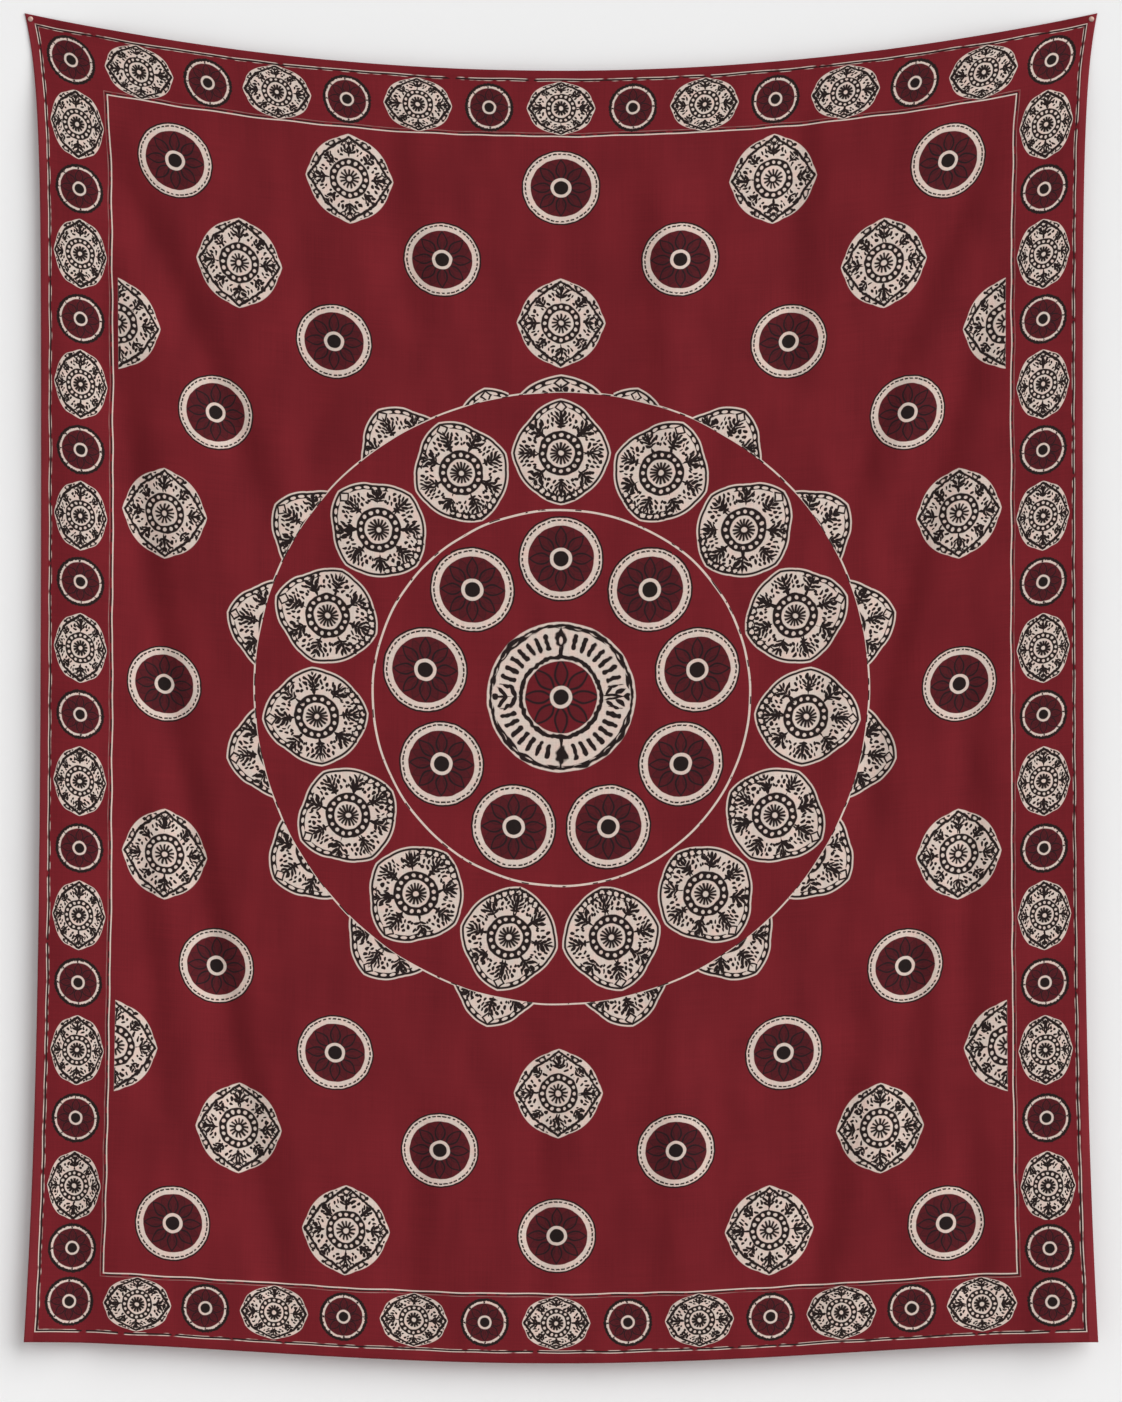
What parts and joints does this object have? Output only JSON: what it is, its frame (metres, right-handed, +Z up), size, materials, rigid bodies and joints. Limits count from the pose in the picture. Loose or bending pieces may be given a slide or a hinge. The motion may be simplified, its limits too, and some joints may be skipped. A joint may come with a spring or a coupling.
{
  "type": "block print bedsheet hung on two wall pins",
  "caption": "Hemmed rectangular cotton sheet with a block-printed medallion design, hung on a wall by a flat-headed pin through each top corner.",
  "frame": {"origin": "point of the wall's surface midway between the two pins", "axes": "+Z up, +X to the right as the printed face is seen, +Y into the wall; the room is on the -Y side"},
  "size_m": [2.182, 0.0707, 2.744],
  "materials": {
    "printed_cotton": "plain-weave cotton, madder red with a cream and black-brown block print",
    "pin_steel": "dull nickel-plated pin head"
  },
  "bodies": {
    "root": {"printed_sheet": "printed_cotton", "pin_left": "pin_steel", "pin_right": "pin_steel"}
  },
  "joints": []
}
